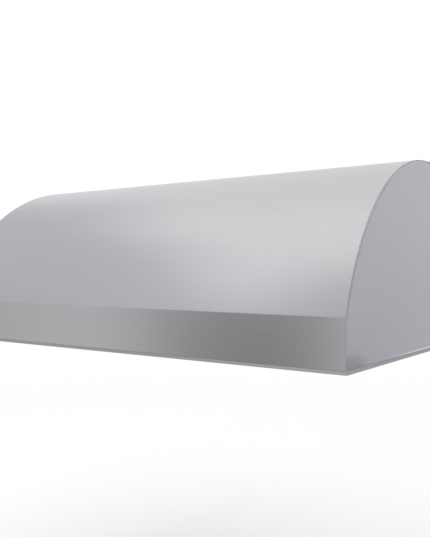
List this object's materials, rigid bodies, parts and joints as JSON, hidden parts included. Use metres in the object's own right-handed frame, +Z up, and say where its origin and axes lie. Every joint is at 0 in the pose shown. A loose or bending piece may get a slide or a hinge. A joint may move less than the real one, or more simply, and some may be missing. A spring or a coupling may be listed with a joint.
{
  "type": "outdoor range hood",
  "caption": "Wall-hung outdoor range hood with a barrel-shaped stainless front, swing-down baffle filters, blowers, duct collars with dampers, lamps, knobs and a tilting grease tray.",
  "frame": {"origin": "on the wall face, at the middle of the hood's lower rear edge", "axes": "+X along the hood, to the right as seen from the front, +Y into the wall, +Z up"},
  "size_m": [1.2192, 0.762, 0.466],
  "materials": {
    "brushed_skin": "brushed stainless steel, grain along the hood",
    "rim_steel": "brushed stainless steel",
    "back_steel": "mill finish stainless steel",
    "liner_steel": "brushed stainless steel",
    "filter_steel": "satin stainless steel",
    "handle_wire": "polished wire",
    "galvanised": "galvanised sheet",
    "wheel_metal": "plain aluminium",
    "motor_paint": "black baked enamel",
    "shaft_steel": "ground steel",
    "flap_metal": "plain aluminium sheet",
    "lamp_metal": "polished steel",
    "lamp_glass": "frosted heat-proof glass",
    "lamp_board": "white board with yellow light source",
    "knob_metal": "turned and brushed steel",
    "control_plastic": "black moulded plastic",
    "lead_jacket": "black cable jacket",
    "screw_steel": "plain stainless steel"
  },
  "bodies": {
    "hood": {"side_panel_left": "brushed_skin", "side_panel_right": "brushed_skin", "barrel_front": "brushed_skin", "top_plate": "brushed_skin", "base_rim": "rim_steel", "back_panel": "back_steel", "light_panel": "liner_steel", "filter_rail_left": "liner_steel", "filter_rail_right": "liner_steel", "filter_divider_1": "liner_steel", "filter_divider_2": "liner_steel", "filter_catches": "liner_steel", "tray_brackets": "liner_steel", "blower_housing_left": "galvanised", "blower_housing_right": "galvanised", "inlet_ring_left": "galvanised", "inlet_ring_right": "galvanised", "motor_plate_left": "galvanised", "motor_plate_right": "galvanised", "duct_collar_left": "galvanised", "duct_collar_right": "galvanised", "junction_box": "galvanised", "junction_cover": "galvanised", "motor_left": "motor_paint", "motor_right": "motor_paint", "damper_rod_left": "shaft_steel", "damper_rod_right": "shaft_steel", "lamp_can_left": "lamp_metal", "lamp_can_right": "lamp_metal", "lamp_ring_left": "lamp_metal", "lamp_ring_right": "lamp_metal", "lamp_lens_left": "lamp_glass", "lamp_lens_right": "lamp_glass", "lamp_boards": "lamp_board", "fan_control": "control_plastic", "light_control": "control_plastic", "conduit_bushing": "control_plastic", "wiring": "lead_jacket", "top_screws": "screw_steel", "collar_screws": "screw_steel"},
    "rotor_left": {"impeller_left": "wheel_metal", "motor_shaft_left": "shaft_steel"},
    "rotor_right": {"impeller_right": "wheel_metal", "motor_shaft_right": "shaft_steel"},
    "flap_front_left": {"damper_flap_front_left": "flap_metal"},
    "flap_rear_left": {"damper_flap_rear_left": "flap_metal"},
    "flap_front_right": {"damper_flap_front_right": "flap_metal"},
    "flap_rear_right": {"damper_flap_rear_right": "flap_metal"},
    "filter_1": {"filter_frame_1": "filter_steel", "filter_baffles_1": "filter_steel"},
    "filter_2": {"filter_frame_2": "filter_steel", "filter_baffles_2": "filter_steel"},
    "filter_3": {"filter_frame_3": "filter_steel", "filter_baffles_3": "filter_steel"},
    "handle_1": {"filter_handle_1": "handle_wire"},
    "handle_2": {"filter_handle_2": "handle_wire"},
    "handle_3": {"filter_handle_3": "handle_wire"},
    "fan_knob": {"fan_knob": "knob_metal"},
    "light_knob": {"light_knob": "knob_metal"},
    "grease_tray": {"grease_tray": "liner_steel"}
  },
  "joints": [
    {"name": "rotor_left_spin", "type": "hinge", "parent": "hood", "child": "rotor_left", "pos_m": [-0.3, -0.22376, 0.25], "axis": [1, 0, 0], "continuous": true},
    {"name": "flap_front_left_lift", "type": "hinge", "parent": "hood", "child": "flap_front_left", "pos_m": [-0.3, -0.127, 0.424], "axis": [-1, 0, 0], "range_deg": [0, 80]},
    {"name": "flap_rear_left_lift", "type": "hinge", "parent": "hood", "child": "flap_rear_left", "pos_m": [-0.3, -0.127, 0.424], "axis": [1, 0, 0], "range_deg": [0, 80]},
    {"name": "rotor_right_spin", "type": "hinge", "parent": "hood", "child": "rotor_right", "pos_m": [0.3, -0.22376, 0.25], "axis": [1, 0, 0], "continuous": true},
    {"name": "flap_front_right_lift", "type": "hinge", "parent": "hood", "child": "flap_front_right", "pos_m": [0.3, -0.127, 0.424], "axis": [-1, 0, 0], "range_deg": [0, 80]},
    {"name": "flap_rear_right_lift", "type": "hinge", "parent": "hood", "child": "flap_rear_right", "pos_m": [0.3, -0.127, 0.424], "axis": [1, 0, 0], "range_deg": [0, 80]},
    {"name": "filter_1_swing", "type": "hinge", "parent": "hood", "child": "filter_1", "pos_m": [-0.39093, -0.095, 0.06], "axis": [1, 0, 0], "range_deg": [0, 75]},
    {"name": "handle_1_swing", "type": "hinge", "parent": "filter_1", "child": "handle_1", "pos_m": [-0.39093, -0.53242, 0.10868], "axis": [1, 0, 0], "range_deg": [-70, 70]},
    {"name": "filter_2_swing", "type": "hinge", "parent": "hood", "child": "filter_2", "pos_m": [0, -0.095, 0.06], "axis": [1, 0, 0], "range_deg": [0, 75]},
    {"name": "handle_2_swing", "type": "hinge", "parent": "filter_2", "child": "handle_2", "pos_m": [0, -0.53242, 0.10868], "axis": [1, 0, 0], "range_deg": [-70, 70]},
    {"name": "filter_3_swing", "type": "hinge", "parent": "hood", "child": "filter_3", "pos_m": [0.39093, -0.095, 0.06], "axis": [1, 0, 0], "range_deg": [0, 75]},
    {"name": "handle_3_swing", "type": "hinge", "parent": "filter_3", "child": "handle_3", "pos_m": [0.39093, -0.53242, 0.10868], "axis": [1, 0, 0], "range_deg": [-70, 70]},
    {"name": "fan_knob_turn", "type": "hinge", "parent": "hood", "child": "fan_knob", "pos_m": [-0.045, -0.69, 0.03], "axis": [0, 0, 1], "range_deg": [0, 270]},
    {"name": "light_knob_turn", "type": "hinge", "parent": "hood", "child": "light_knob", "pos_m": [0.045, -0.69, 0.03], "axis": [0, 0, 1], "range_deg": [0, 270]},
    {"name": "grease_tray_tilt", "type": "hinge", "parent": "hood", "child": "grease_tray", "pos_m": [0, -0.0162, 0.02], "axis": [1, 0, 0], "range_deg": [0, 60]}
  ]
}
